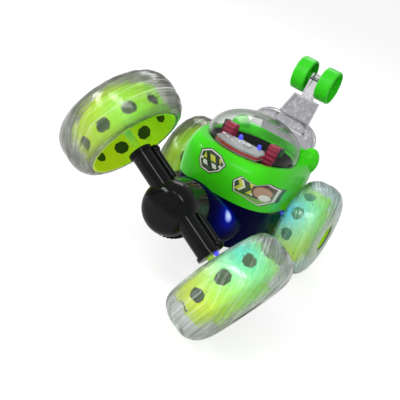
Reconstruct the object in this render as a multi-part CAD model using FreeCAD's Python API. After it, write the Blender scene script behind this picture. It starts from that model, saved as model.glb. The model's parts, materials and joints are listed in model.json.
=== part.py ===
import FreeCAD
import Part
import math
import os
from FreeCAD import Matrix, Placement, Rotation, Vector

# A radio controlled tumbling stunt car, in millimetres and degrees.
# Modelling frame: X forward, Y to the car's left, Z up, origin on the twist axis level with
# the front axle. The front unit turns about X and is modelled straight, then turned by
# front_twist. At the end the whole car is pitched so that it stands on three wheels.

# ---------------------------------------------------------------- driving dimensions
wheelbase = 187.0
front_track = 171.0
rear_track = 151.0
front_twist = -25.2
front_axle_rise = 7.0        # front axle above the twist axis, in the front unit
rear_axle_rise = 6.0         # rear axle above the twist axis, in the chassis

front_wheel = {"radius": 55.0, "width": 47.0, "rim": 41.6, "flat": 27.0, "opening": 15.0, "barrel": 35.5,
               "clearance": 8.0}
rear_wheel = {"radius": 50.6, "width": 41.6, "rim": 38.4, "flat": 25.0, "opening": 14.0, "barrel": 31.5,
              "clearance": 2.0}          # clearance: from the arm's or boss's end to the tyre
tyre_wall = 1.6
tyre_roundness = 2.6         # exponent of the superellipse across the tread
tyre_samples = 400           # for finding where a tilted tyre touches the ground
pitch_tolerance = 1e-6
hub_wall = 1.8
hub_edge_round = 5.0
bead_gap = 0.1
barrel_windows = 10
barrel_window_length = 13.0
barrel_window_width = 11.5
barrel_window_corner = 3.5
barrel_window_setback = 19.5     # from the disc's face to the windows' middle
disc_windows = 6
disc_window_inner = 11.5
disc_window_rim = 2.5        # material left outside the disc windows
disc_window_angle = 38.0
hub_tube_radius = 3.2
shaft_radius = 2.0
running_gap = 0.05           # radial clearance of turning shafts
side_gap = 0.4               # end clearance of turning parts
hub_cap_radius = 9.0
hub_cap_height = 4.0
hub_cap_round = 2.4
shaft_stub = 3.0             # how far a shaft reaches past the hub's disc, into its cap
front_window_phase = {"left": 14.0, "right": 32.0}
rear_window_phase = {"left": 12.0, "right": 24.0}

wall = 2.2                   # moulded shells of the body

shell_centre = -141.0
parting_height = 15.0        # where the shell meets the tub
shell_sections = [           # share of the height up to the rim, front and rear reach, half width
    (0.0, 71.0, 76.0, 50.5),
    (0.34, 74.5, 78.5, 52.5),
    (0.76, 74.0, 78.5, 52.3),
    (1.0, 68.0, 75.0, 48.2),
]
plan_front_exponent = 3.0
plan_rear_exponent = 4.5
plan_points = 36

dome_centre = Vector(-132.2, 0, 61.3)
dome_pitch = 6.8             # the rim drops towards the nose
dome_length_radius = 56.5
dome_width_radius = 46.0
dome_rise = 27.7
dome_skirt = 5.0
dome_wall = 1.6
dome_ledge = 2.2             # width of the rim that the dome stands on

tray_depth = 13.0
tray_wall = 1.4
tray_flange = 1.6

seat_width = 11.2
seat_height = 27.5
seat_depth = 11.0
seat_edge_round = 2.0
seat_offset = 25.0
seat_forward = 5.0           # of the dome's centre
seat_recline = 4.0
seat_rib_count = 5
seat_rib_radius = 1.4
seat_panel_thickness = 2.0
seat_squab_depth = 15.0
seat_squab_height = 5.0

console_top = 5.5            # of the dashboard, above the dome's foot
console_inset = 3.0          # from the tray's edge to the dashboard's curved front
console_rear = 24.0          # of the raised part, ahead of the dome's centre
console_half_width = 22.0
shelf_top = 1.0              # of the low part behind it, which carries the lamps
shelf_rear = 1.0
shelf_half_width = 14.0
dashboard_thickness = 1.6
front_trim_thickness = 0.8
front_band_low = 1.0         # lower edge of the red band round the dashboard's front
front_lip_height = 1.0       # of the silver edge below the red band
dial_place = Vector(33.0, 5.5, console_top)
dial_radius = 4.0
dial_height = 1.8

deck_wall_gap = 0.6          # between the dome and the green wall behind it
deck_wall_thickness = 4.2
deck_wall_top = 76.0
deck_wall_half_width = 42.0
deck_wall_round = 2.0
horn_centre = Vector(-190.0, 42.8, 67.0)
horn_radii = Vector(11.0, 10.4, 14.6)

tail_base_sections = [       # centre x, height above the deck, half depth, half width
    (-203.0, 0.0, 8.5, 37.5),
    (-203.0, 12.0, 9.0, 38.0),
    (-204.0, 21.0, 9.0, 34.5),
    (-205.0, 26.5, 8.5, 27.5),
    (-206.0, 29.0, 7.0, 19.0),
]
tail_arm_sections = [
    (-209.0, 16.0, 7.0, 20.0),
    (-218.0, 33.0, 7.5, 17.6),
    (-227.5, 51.5, 7.5, 15.0),
]
tail_roundness = 2.8
tail_wall = 1.6
tail_axle = Vector(-227.0, 0, 143.4)
tail_neck_half_width = 5.6
tail_neck_half_depth = 6.2
tail_wheel_radius = 18.4
tail_wheel_width = 15.5
tail_wheel_offset = 14.7
tail_wheel_wall = 2.0
tail_wheel_web = 1.8
tail_hub_radius = 4.6
tail_pin_radius = 1.6
tail_wheel_round = 1.6
tail_cap_thickness = 1.2

tub_bottom = -31.0
tub_sections = [             # share of the height from bottom to parting, reaches, half width
    (0.0, 58.0, 64.0, 40.0),
    (0.08, 64.0, 70.0, 45.5),
    (0.28, 68.0, 74.0, 48.8),
    (1.0, 71.0, 76.0, 50.5),
]
neck_face = -33.0            # front end of the nose, where the front unit turns against it
nose_sections = [            # distance behind the neck face, half width, bottom, top, exponent
    (0.0, 25.0, -25.0, 25.0, 2.0),
    (12.0, 33.0, -27.5, 22.5, 2.2),
    (27.0, 39.0, -29.0, 16.5, 2.5),
    (36.0, 40.5, -29.0, 14.2, 2.6),
    (54.0, 40.5, -28.0, 12.5, 2.6),
]
nose_points = 32

spigot_radius = 9.0
spigot_bore = 5.0
spigot_length = 20.0
bush_radius = 12.0
bush_length = 15.0
bearing_boss_radius = 15.0
neck_wall = 3.0
twist_face_gap = 0.6
clip_thickness = 1.4
clip_radius = 12.6
clip_groove = 0.8
clip_slot = 6.0

drum_radius = 24.8
drum_joint = -8.0            # x of the joint between housing and cap
drum_wall = 2.2
drum_rear_round = 2.0
cap_depth = 21.5
cap_fullness = 3.0           # exponent of the superellipse of its profile
cap_profile_points = 12
ridge_arc_radius = 16.6      # raised crescent on the cap: a long arc and a hook
ridge_hook_radius = 6.0
ridge_half_width = 1.6
ridge_rise = 1.2
ridge_arc_span = 95.0
ridge_hook_span = 185.0
band_start = -17.0
band_width = 9.0
band_thickness = 2.4
band_span = 150.0
band_ribs = 19
band_rib_radius = 1.0

arm_radius = 9.4
arm_bore = 7.6
arm_inner_end = 12.4
arm_flange_radius = 10.8
arm_flange_width = 3.4
arm_end_wall = 3.6
motor_clearance = 0.4        # round the motor where it passes an arm's inner end
arm_strut_radius = 3.4
arm_strut_start = 20.0
arm_strut_end = 49.0
arm_strut_offset = Vector(-8.6, 0, 9.0)
arm_knob_radius = 4.6
arm_hole_gap = 0.05

gear_module = 0.5
gear_teeth = 36
pinion_teeth = 12
gear_width = 3.0
tooth_fill = 0.34            # tooth thickness as a share of the pitch
tooth_height = 0.8           # addendum and dedendum in modules
motor_radius = 8.0
motor_length = 16.0
motor_shaft_radius = 1.0
motor_angle_front = -135.0   # direction from the axle to the motor, in the XZ plane
motor_angle_rear = 45.0
front_gear_start = 2.0
front_plate_gap = 0.6        # between the front motor's plate and the gear
front_plate_thickness = 1.2
front_plate_margin = 6.0     # from the drum's back wall to the plate
front_plate_reach = 14.0     # of the plate in front of the drum's joint
rear_gear_start = 28.4
gearbox_wall = 1.5
gearbox_gap = 1.2
gearbox_outer_face = 34.5
axle_boss_radius = 7.5

cell_radius = 7.1
cell_length = 49.5
cell_count = 3
cell_pitch = 14.4
battery_centre = -128.0
cell_nub_radius = 2.7
cell_nub_length = 1.0
battery_box_wall = 1.4
battery_gap = 0.3
contact_gap = 0.02           # between pieces that rest on each other
contact_thickness = 0.5
contact_radius = 5.0
door_thickness = 1.2
door_margin_x = 1.4
door_half_width = 34.0
door_gap = 0.3
door_screw_offset = 31.0
door_post_radius = 3.0
door_post_top = -16.0
door_screw_length = 9.0

board_length = 52.0
board_width = 44.0
board_thickness = 1.6
board_standoff = 4.0         # above the battery box
board_centre = -124.0
board_post_radius = 2.5
board_post_inset = 3.0
chip_sizes = [Vector(12.0, 9.0, 2.0), Vector(7.0, 7.0, 1.6), Vector(6.0, 10.0, 5.5)]
chip_places = [(-8.0, -6.0), (8.0, 9.0), (14.0, -8.0)]

speaker_radius = 12.0
speaker_height = 6.0
speaker_centre = -168.0
speaker_hole_radius = 1.2
speaker_hole_ring = 7.0
speaker_holes = 8

switch_centre = Vector(-189.0, -14.0, 0)
switch_housing = Vector(9.0, 14.0, 6.0)
switch_knob = Vector(4.0, 3.6, 4.0)
switch_travel = 4.0
switch_slot_gap = 0.3
switch_lip = 1.0             # of the knob's foot over the edges of its slot

socket_height = -8.0
socket_radius = 4.0
socket_length = 12.0
socket_bore = 1.75
socket_depth = 9.0

screw_posts = [(-90.2, 34.1), (-209.0, 14.0)]
access_gap = 0.3             # round a screw's head
post_radius = 4.6
screw_head_radius = 2.7
screw_head_height = 1.8
screw_shank_radius = 1.3
slot_width = 0.8
screw_shank_length = 15.0
screw_seat_height = 6.0
boss_radius = 3.2

led_radius = 2.0
led_length = 7.0
headlight_place = Vector(-60.0, 24.0, 2.0)
led_post_radius = 3.0        # of the pillar under each headlight
cockpit_led_place = Vector(13.0, 10.7, shelf_top)
front_led_offset = Vector(-4.6, 0, 4.6)
rear_led_offset = Vector(18.0, 0, 4.0)

badge_thickness = 0.25
badge_places = {             # centre, width and height on the shell's front
    "right": {"y": -8.0, "z": 40.0, "width": 30.0, "height": 22.0},
    "left": {"y": 36.0, "z": 33.0, "width": 36.0, "height": 24.0},
}
left_badge_outline = [(-1.0, 0.2), (-0.7, 0.75), (0.1, 0.55), (0.55, 1.0), (1.0, 0.7), (0.95, -0.4),
                      (0.5, -1.0), (-0.2, -0.7), (-0.8, -0.6)]
right_badge_outline = [(-1.0, 0.5), (-0.45, 0.95), (0.4, 0.8), (1.0, 0.3), (0.8, -0.45), (0.2, -1.0),
                       (-0.5, -0.9), (-0.85, -0.3)]

X = Vector(1, 0, 0)
Y = Vector(0, 1, 0)
Z = Vector(0, 0, 1)
ORIGIN = Vector(0, 0, 0)


# ---------------------------------------------------------------- small helpers
def rod(radius, start, direction, length):
    return Part.makeCylinder(radius, length, start, direction)


def pipe(outer, inner, start, direction, length):
    return rod(outer, start, direction, length).cut(rod(inner, start, direction, length))


def block(low, high):
    size = high - low
    return Part.makeBox(size.x, size.y, size.z, low)


def moved(shape, offset):
    copy = shape.copy()
    copy.translate(offset)
    return copy


def turned(shape, centre, axis, angle):
    copy = shape.copy()
    copy.rotate(centre, axis, angle)
    return copy


def mirrored(shape):
    return shape.mirror(ORIGIN, Y)


def signed_power(value, exponent):
    return math.copysign(abs(value) ** exponent, value)


def closed_curve(points):
    curve = Part.BSplineCurve()
    curve.interpolate(points, PeriodicFlag=True)
    return Part.Wire([curve.toShape()])


def open_curve(points):
    curve = Part.BSplineCurve()
    curve.interpolate(points)
    return curve.toShape()


def joined(shapes):
    whole = shapes[0]
    for shape in shapes[1:]:
        whole = whole.fuse(shape)
    return whole.removeSplitter()


def group(shapes):
    return Part.makeCompound(shapes)


def ellipsoid(centre, radii):
    scale = Matrix()
    scale.scale(radii.x, radii.y, radii.z)
    ball = Part.makeSphere(1.0).transformGeometry(scale)
    return moved(ball, centre)


def revolved(edges, axis, centre=ORIGIN):
    face = Part.Face(Part.Wire(Part.__sortEdges__(edges)))
    return face.revolve(centre, axis, 360)


def polygon_face(points):
    return Part.Face(Part.makePolygon(points + [points[0]]))


def ellipse_prism(length_radius, width_radius, low, high):
    outline = Part.Ellipse(ORIGIN, length_radius, width_radius).toShape()
    return moved(Part.Face(Part.Wire([outline])).extrude(Z * (high - low)), Z * low)


# ---------------------------------------------------------------- wheels
# A wheel is modelled at the origin about the Y axis, with its outer side towards +Y.
def tyre_curve(wheel, inset, steps=16):
    half = wheel["width"] / 2 - inset
    top = wheel["radius"] - inset
    points = []
    for step in range(steps + 1):
        angle = math.pi * step / steps
        base = wheel["flat"] if angle < math.pi / 2 else wheel["rim"]
        across = signed_power(math.cos(angle), 2 / tyre_roundness) * half
        rise = abs(math.sin(angle)) ** (2 / tyre_roundness)
        points.append(Vector(base + (top - base) * rise, across, 0))
    return points


def tyre(wheel):
    outer = tyre_curve(wheel, 0)
    inner = tyre_curve(wheel, tyre_wall)
    ends = [Part.makeLine(outer[0], inner[0]), Part.makeLine(outer[-1], inner[-1])]
    tread = revolved([open_curve(outer), open_curve(inner)] + ends, Y)
    side = pipe(wheel["flat"], wheel["opening"], Y * (wheel["width"] / 2 - tyre_wall), Y, tyre_wall)
    return joined([tread, side])


def barrel_window(wheel):
    """A window with cut corners in the barrel's wall."""
    half_length = barrel_window_length / 2
    half_width = barrel_window_width / 2
    straight_length = half_length - barrel_window_corner
    straight_width = half_width - barrel_window_corner
    middle = hub_disc_face(wheel) - barrel_window_setback
    depth = wheel["rim"] - 3 * hub_wall
    quarter = [(half_width, straight_length), (straight_width, half_length)]
    near = quarter + [(-across, around) for across, around in reversed(quarter)]
    far = [(-across, -around) for across, around in near]
    face = polygon_face([Vector(depth, middle + across, around) for across, around in near + far])
    return face.extrude(X * (wheel["rim"] - depth))


def disc_window(wheel):
    outer = wheel["flat"] - bead_gap - hub_wall - disc_window_rim
    ring = pipe(outer, disc_window_inner, ORIGIN, Y, wheel["width"])
    half = math.radians(disc_window_angle / 2)
    reach = 2 * outer
    wedge = polygon_face([ORIGIN,
                          Vector(reach * math.cos(half), 0, reach * math.sin(half)),
                          Vector(reach * math.cos(half), 0, -reach * math.sin(half))])
    return ring.common(wedge.extrude(Y * wheel["width"]))


def hub_disc_face(wheel):
    """The outer face of the disc that closes the hub's barrel."""
    return wheel["barrel"] - wheel["width"] / 2


def hub(wheel, phase):
    inner_plane = -wheel["width"] / 2
    disc_face = hub_disc_face(wheel)
    barrel_radius = wheel["rim"] - bead_gap
    barrel = rod(barrel_radius, Y * inner_plane, Y, disc_face - inner_plane)
    outer_edge = [edge for edge in barrel.Edges
                  if edge.Closed and abs(edge.BoundBox.YMin - disc_face) < 0.01]
    barrel = barrel.makeFillet(hub_edge_round, outer_edge)
    cavity = rod(barrel_radius - hub_wall, Y * inner_plane, Y, disc_face - hub_wall - inner_plane)
    inner_edge = [edge for edge in cavity.Edges
                  if edge.Closed and abs(edge.BoundBox.YMin - disc_face + hub_wall) < 0.01]
    cavity = cavity.makeFillet(hub_edge_round - hub_wall, inner_edge)
    bead_ring_end = wheel["width"] / 2 - tyre_wall - contact_gap
    bead_radius = wheel["flat"] - bead_gap
    bead_ring = pipe(bead_radius, bead_radius - hub_wall, Y * (disc_face - hub_wall), Y,
                     bead_ring_end - disc_face + hub_wall)
    tube_start = inner_plane - wheel["clearance"] + side_gap
    tube = rod(hub_tube_radius, Y * tube_start, Y, disc_face - tube_start)
    body = joined([barrel.cut(cavity), bead_ring, tube])
    for index in range(barrel_windows):
        body = body.cut(turned(barrel_window(wheel), ORIGIN, Y, phase + index * 360 / barrel_windows))
    for index in range(disc_windows):
        body = body.cut(turned(disc_window(wheel), ORIGIN, Y, phase + index * 360 / disc_windows))
    return body.cut(rod(shaft_radius, Y * tube_start, Y, disc_face - tube_start))


def hub_cap(wheel):
    base = hub_disc_face(wheel)
    cap = rod(hub_cap_radius, Y * base, Y, hub_cap_height)
    rim = [edge for edge in cap.Edges
           if edge.Closed and abs(edge.BoundBox.YMin - base - hub_cap_height) < 0.01]
    return cap.makeFillet(hub_cap_round, rim).cut(rod(shaft_radius, Y * base, Y, shaft_stub))


# ---------------------------------------------------------------- gears and motors
def gear(teeth, width, tooth_direction):
    """A spur gear about Y with one tooth centred on tooth_direction in the XZ plane."""
    pitch = gear_module * teeth / 2
    step = 360 / teeth
    points = []
    for tooth in range(teeth):
        middle = tooth_direction + tooth * step
        for radius, share in ((pitch - gear_module, -0.68), (pitch + gear_module * tooth_height, -0.4),
                              (pitch + gear_module * tooth_height, 0.4), (pitch - gear_module, 0.68)):
            angle = math.radians(middle + share * tooth_fill * step)
            points.append(Vector(radius * math.cos(angle), 0, radius * math.sin(angle)))
    return polygon_face(points).extrude(Y * width)


def motor_place(axle, angle):
    centres = gear_module * (gear_teeth + pinion_teeth) / 2
    return axle + Vector(math.cos(math.radians(angle)), 0, math.sin(math.radians(angle))) * centres


def axle_gear(axle, angle, start):
    return moved(gear(gear_teeth, gear_width, angle), axle + Y * start)


def rotor(axle, angle, start, shaft_start):
    place = motor_place(axle, angle)
    half_step = 180 / pinion_teeth
    pinion = moved(gear(pinion_teeth, gear_width, angle + 180 + half_step), place + Y * start)
    shaft = rod(motor_shaft_radius, place + Y * shaft_start, Y, start + gear_width - shaft_start)
    return pinion.fuse(shaft).removeSplitter()


def motor(axle, angle, end):
    place = motor_place(axle, angle)
    can = rod(motor_radius, place + Y * (end - motor_length), Y, motor_length)
    shaft_hole = rod(motor_shaft_radius + running_gap, place + Y * (end - motor_length / 2), Y,
                     motor_length / 2)
    return can.makeFillet(1.2, [edge for edge in can.Edges if edge.Closed]).cut(shaft_hole)


# ---------------------------------------------------------------- front unit
# Modelled straight, about the twist axis (X), with its wheels' axle along Y.
front_axle = Vector(0, 0, front_axle_rise)
drum_back = neck_face + twist_face_gap
arm_end = front_track / 2 - front_wheel["width"] / 2 - front_wheel["clearance"]
clip_start = neck_face - bush_length - side_gap - clip_thickness


def disc(radius, start, length, round_edge, at_end):
    """A cylinder about X with one rounded edge."""
    cylinder = rod(radius, X * start, X, length)
    edge_place = start + length if at_end else start
    edges = [edge for edge in cylinder.Edges
             if edge.Closed and abs(edge.BoundBox.XMin - edge_place) < 0.01]
    return cylinder.makeFillet(round_edge, edges)


def arm_holes():
    radius = arm_radius + arm_hole_gap
    length = drum_radius
    return [rod(radius, front_axle + Y * side * arm_inner_end, Y * side, length) for side in (-1, 1)]


def drum_housing():
    depth = drum_joint - drum_back
    outer = disc(drum_radius, drum_back, depth, drum_rear_round, False)
    cavity = disc(drum_radius - drum_wall, drum_back + drum_wall, depth - drum_wall,
                  drum_rear_round / 2, False)
    spigot = rod(spigot_radius, X * (drum_back - spigot_length), X, spigot_length + drum_wall)
    bore = rod(spigot_bore, X * (drum_back - spigot_length), X, spigot_length + drum_wall)
    groove = pipe(spigot_radius, spigot_radius - clip_groove, X * clip_start, X, clip_thickness)
    return outer.cut(cavity).fuse(spigot).cut(group([bore, groove] + arm_holes()))


def cap_dome(inset):
    radius = drum_radius - inset
    depth = cap_depth - inset
    points = []
    for step in range(cap_profile_points + 1):
        angle = math.pi / 2 * step / cap_profile_points
        forward = abs(math.sin(angle)) ** (2 / cap_fullness)
        out = abs(math.cos(angle)) ** (2 / cap_fullness)
        points.append(Vector(drum_joint + depth * forward, radius * out, 0))
    centre = X * drum_joint
    sides = [Part.makeLine(centre, points[0]), Part.makeLine(centre, points[-1])]
    return revolved([open_curve(points)] + sides, X)


def arc_prism(centre_height, arc_radius, start, span):
    """A curved bar seen from the front; its angles run from +Y towards +Z."""
    depth = cap_depth + ridge_rise
    sector = Part.makeCylinder(arc_radius + ridge_half_width, depth, ORIGIN, Z, span)
    sector = turned(sector, ORIGIN, Z, start).cut(rod(arc_radius - ridge_half_width, ORIGIN, Z, depth))
    sector.Placement = Placement(Vector(drum_joint, 0, centre_height),
                                 Rotation(Y, Z, X, "XYZ")).multiply(sector.Placement)
    return sector


def drum_cap():
    arc = arc_prism(0, ridge_arc_radius, 90, ridge_arc_span)
    hook = arc_prism(ridge_arc_radius - ridge_hook_radius, ridge_hook_radius, 90 - ridge_hook_span,
                     ridge_hook_span)
    ridge = arc.fuse(hook).common(cap_dome(-ridge_rise))
    return joined([cap_dome(0), ridge]).cut(group([cap_dome(drum_wall)] + arm_holes()))


def drum_band():
    """Ribbed grey bumper round the underside of the drum."""
    outer = drum_radius + band_thickness
    ring = pipe(outer, drum_radius, X * band_start, X, band_width)
    half = math.radians(band_span / 2)
    reach = 4 * outer
    wedge = polygon_face([Vector(band_start, 0, 0),
                          Vector(band_start, reach * math.sin(half), -reach * math.cos(half)),
                          Vector(band_start, 0, -reach),
                          Vector(band_start, -reach * math.sin(half), -reach * math.cos(half))])
    band = ring.common(wedge.extrude(X * band_width))
    grooves = []
    for index in range(band_ribs):
        angle = math.radians(band_span * ((index + 0.5) / band_ribs - 0.5))
        place = Vector(band_start, outer * math.sin(angle), -outer * math.cos(angle))
        grooves.append(rod(band_rib_radius, place, X, band_width))
    return band.cut(group(grooves))


def twist_clip():
    ring = pipe(clip_radius, spigot_radius - clip_groove, X * clip_start, X, clip_thickness)
    slot = block(Vector(clip_start, -clip_slot / 2, 0), Vector(clip_start + clip_thickness, clip_slot / 2, clip_radius))
    return ring.cut(slot)


def front_arm():
    tube = rod(arm_radius, front_axle + Y * arm_inner_end, Y, arm_end - arm_inner_end)
    flange = rod(arm_flange_radius, front_axle + Y * (arm_end - arm_flange_width), Y, arm_flange_width)
    strut_place = front_axle + arm_strut_offset
    strut = rod(arm_strut_radius, strut_place + Y * arm_strut_start, Y, arm_strut_end - arm_strut_start)
    knob = Part.makeSphere(arm_knob_radius, strut_place + Y * arm_strut_end)
    bore = rod(arm_bore, front_axle + Y * arm_inner_end, Y, arm_end - arm_end_wall - arm_inner_end)
    bearing = rod(shaft_radius + running_gap, front_axle, Y, arm_end)
    led_hole = rod(led_radius, front_axle + front_led_offset + Y * (arm_end - arm_end_wall), Y, arm_end_wall)
    motor_room = rod(motor_radius + motor_clearance, motor_place(front_axle, motor_angle_front), Y,
                     motor_length)
    outside = joined([tube, flange, strut, knob])
    inside_drum = cap_dome(0).fuse(rod(drum_radius, X * drum_back, X, drum_joint - drum_back))
    outside = outside.cut(strut.fuse(knob).common(inside_drum).cut(tube))
    return outside.cut(group([bore, bearing, led_hole, motor_room]))


def front_plate_start():
    return front_gear_start - front_plate_gap - front_plate_thickness


def front_plate():
    """Carries the front motor and steadies the axle beside the gear."""
    radius = drum_radius - drum_wall
    low = Vector(drum_back + drum_wall + front_plate_margin, front_plate_start(), -radius)
    high = Vector(drum_joint + front_plate_reach, front_plate_start() + front_plate_thickness, radius)
    in_housing = rod(radius - side_gap, X * low.x, X, drum_joint - low.x)
    plate = block(low, high).common(in_housing.fuse(cap_dome(drum_wall + side_gap)))
    shaft_hole = rod(shaft_radius + running_gap, front_axle, Y, front_gear_start)
    pinion_hole = rod(motor_shaft_radius + running_gap, motor_place(front_axle, motor_angle_front), Y,
                      front_gear_start)
    return plate.cut(group([shaft_hole, pinion_hole]))


def led(place, direction):
    body = rod(led_radius, place, direction, led_length - led_radius)
    return joined([body, Part.makeSphere(led_radius, place + direction * (led_length - led_radius))])


def front_axle_shaft():
    reach = front_track / 2 + hub_disc_face(front_wheel) + shaft_stub
    return rod(shaft_radius, front_axle - Y * reach, Y, 2 * reach)


def bored(shape, axle):
    length = front_track + rear_track
    return shape.cut(rod(shaft_radius, axle - Y * length, Y, 2 * length))


# ---------------------------------------------------------------- tub and shell
def superellipse(front, rear, half, front_exponent, rear_exponent, count):
    """Points of an outline whose front and rear halves have their own reach and exponent."""
    points = []
    for index in range(count):
        angle = 2 * math.pi * index / count
        along = math.cos(angle)
        across = math.sin(angle)
        exponent = front_exponent if along >= 0 else rear_exponent
        spread = (abs(along) ** exponent + abs(across) ** exponent) ** (-1 / exponent)
        reach = front if along >= 0 else rear
        points.append((reach * spread * along, half * spread * across))
    return points


def rim_height(x):
    """Height of the plane that the dome stands on."""
    return dome_centre.z - (x - dome_centre.x) * math.tan(math.radians(dome_pitch))


def plan_wire(section, inset, height_at):
    front, rear, half = section[1:]
    outline = superellipse(front - inset, rear - inset, half - inset, plan_front_exponent,
                           plan_rear_exponent, plan_points)
    return closed_curve([Vector(shell_centre + x, y, height_at(shell_centre + x)) for x, y in outline])


def shell_solid(inset, top_inset):
    wires = []
    for section in shell_sections:
        share = section[0]

        def height(x):
            return parting_height + share * (rim_height(x) - top_inset - parting_height)
        wires.append(plan_wire(section, inset, height))
    return Part.makeLoft(wires, True)


def tub_solid(inset, top):
    wires = []
    for section in tub_sections:
        share = section[0]
        low = tub_bottom + inset
        wires.append(plan_wire(section, inset, lambda x: low + share * (top - low)))
    return Part.makeLoft(wires, True)


def nose_solid(inset):
    wires = []
    for behind, half, low, high, exponent in nose_sections:
        outline = superellipse(half - inset, half - inset, (high - low) / 2 - inset, exponent, exponent,
                               nose_points)
        middle = (high + low) / 2
        wires.append(closed_curve([Vector(neck_face - behind, y, middle + z) for y, z in outline]))
    return Part.makeLoft(wires, True)


def rear_axle_place():
    return Vector(-wheelbase, 0, rear_axle_rise)


def boss_end():
    """Outer end of the tub's rear axle bosses."""
    return rear_track / 2 - rear_wheel["width"] / 2 - rear_wheel["clearance"]


def both_sides(place):
    return [Vector(place.x, side * place.y, place.z) for side in (-1, 1)]


def post_places():
    return [Vector(x, side * y, 0) for x, y in screw_posts for side in (-1, 1)]


def cell_height():
    return tub_bottom + door_thickness + battery_gap + cell_radius


def box_half_length():
    return cell_count * cell_pitch / 2 + battery_gap + battery_box_wall


def box_half_width():
    return cell_length / 2 + cell_nub_length + contact_thickness + battery_gap + battery_box_wall


def door_half_length():
    return box_half_length() + door_margin_x


def battery_door(gap):
    half_length = door_half_length() + gap
    half_width = door_half_width + gap
    return block(Vector(battery_centre - half_length, -half_width, tub_bottom),
                 Vector(battery_centre + half_length, half_width, tub_bottom + door_thickness))


def tub_bosses():
    """Everything solid inside the tub: bearing boss, axle bosses and screw posts."""
    axle = rear_axle_place()
    bosses = [rod(bearing_boss_radius, X * (neck_face - bush_length), X, bush_length)]
    for side in (-1, 1):
        bosses.append(rod(axle_boss_radius, axle + Y * side * gearbox_outer_face, Y * side,
                          boss_end() - gearbox_outer_face))
    for place in post_places():
        bosses.append(rod(post_radius, place + Z * tub_bottom, Z, screw_seat_height - tub_bottom))
    for place in door_screw_places():
        bosses.append(rod(door_post_radius, place + Z * tub_bottom, Z, door_post_top - tub_bottom))
    for place in both_sides(headlight_place):
        foot = Vector(place.x - led_length / 2, place.y, tub_bottom)
        bosses.append(rod(led_post_radius, foot, Z, place.z - led_radius - contact_gap - tub_bottom))
    return bosses


def tub_cuts():
    """Bores, screw holes, the battery opening, the grille, the switch slot and the socket hole."""
    axle = rear_axle_place()
    cuts = [rod(bush_radius + running_gap, X * (neck_face - bush_length), X, bush_length)]
    for side in (-1, 1):
        cuts.append(rod(shaft_radius + running_gap, axle, Y * side, boss_end()))
        cuts.append(rod(led_radius, axle + rear_led_offset, Y * side, rear_track))
    for place in post_places():
        cuts.append(rod(screw_head_radius + access_gap, place + Z * tub_bottom, Z,
                        screw_seat_height - wall - tub_bottom))
        cuts.append(rod(screw_shank_radius, place, Z, screw_seat_height))
    for place in door_screw_places():
        cuts.append(rod(screw_shank_radius, place + Z * tub_bottom, Z, screw_shank_length))
    cuts.append(battery_door(door_gap))
    inner = Vector(box_half_length() - battery_box_wall, box_half_width() - battery_box_wall, 0)
    centre = Vector(battery_centre, 0, tub_bottom)
    cuts.append(block(centre - inner, centre + inner + Z * 2 * wall))
    cuts.append(switch_slot())
    cuts.append(rod(socket_radius, socket_place() - X * socket_length, X, 2 * socket_length))
    return cuts + speaker_grille()


def chassis_tub():
    outer = tub_solid(0, parting_height).fuse(nose_solid(0))
    behind_neck = block(Vector(shell_centre, -front_track, -front_track),
                        Vector(neck_face - neck_wall, front_track, front_track))
    hollow = tub_solid(wall, parting_height).fuse(nose_solid(wall).common(behind_neck))
    tub = outer.cut(hollow.cut(group(tub_bosses())))
    outer_bosses = [boss.cut(outer) for boss in tub_bosses()[1:3]]
    tub = joined([tub] + outer_bosses)
    for cut in tub_cuts():
        tub = tub.cut(cut)
    return tub


def body_shell():
    bosses = [rod(boss_radius, place + Z * screw_seat_height, Z, deck_wall_top) for place in post_places()]
    hollow = shell_solid(wall, wall)
    shell = shell_solid(0, 0).cut(hollow.cut(group(bosses)))
    feet = [rod(boss_radius, place + Z * screw_seat_height, Z, parting_height + wall - screw_seat_height)
            for place in post_places()]
    low = Vector(deck_wall_front() - deck_wall_thickness, -deck_wall_half_width, dome_centre.z)
    deck_wall = block(low, Vector(deck_wall_front(), deck_wall_half_width, deck_wall_top))
    crest = [edge for edge in deck_wall.Edges if abs(edge.BoundBox.ZMin - deck_wall_top) < 0.01]
    horns = [ellipsoid(place, horn_radii) for place in both_sides(horn_centre)]
    shell = joined([shell] + feet + [deck_wall.makeFillet(deck_wall_round, crest)] + horns)
    opening = in_dome_frame(ellipse_prism(dome_length_radius - dome_ledge, dome_width_radius - dome_ledge,
                                          -3 * wall, wall))
    shell = shell.cut(opening)
    for place in post_places():
        shell = shell.cut(rod(screw_shank_radius, place + Z * screw_seat_height, Z, screw_shank_length))
    return shell


def deck_wall_front():
    return dome_centre.x - dome_length_radius - deck_wall_gap


def badge(spot, outline):
    """A thin printed patch that follows the shell's front."""
    patch = shell_solid(-badge_thickness, 0).cut(shell_solid(-contact_gap, 0))
    prism = polygon_face([Vector(shell_centre, spot["y"] + y * spot["width"] / 2,
                                 spot["z"] + z * spot["height"] / 2) for y, z in outline])
    return patch.common(prism.extrude(X * (wheelbase / 2)))


# ---------------------------------------------------------------- dome and cockpit
# These are modelled about the middle of the dome's foot, level, then set down on the rim.
def in_dome_frame(shape):
    return moved(turned(shape, ORIGIN, Y, dome_pitch), dome_centre)


def dome_shape(inset):
    skirt = ellipse_prism(dome_length_radius - inset, dome_width_radius - inset, 0, dome_skirt)
    crown = ellipsoid(Z * dome_skirt, Vector(dome_length_radius - inset, dome_width_radius - inset,
                                             dome_rise - inset))
    reach = 2 * dome_length_radius
    upper = block(Vector(-reach, -reach, dome_skirt), Vector(reach, reach, reach))
    return skirt.fuse(crown.common(upper))


def dome():
    return dome_shape(0).cut(dome_shape(dome_wall)).removeSplitter()


def tray_shape(inset, low, high):
    return ellipse_prism(dome_length_radius - dome_ledge - inset, dome_width_radius - dome_ledge - inset,
                         low, high)


def tray_top():
    return -wall / math.cos(math.radians(dome_pitch)) - contact_gap


def tray_floor():
    return tray_top() - tray_depth + tray_wall


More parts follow.
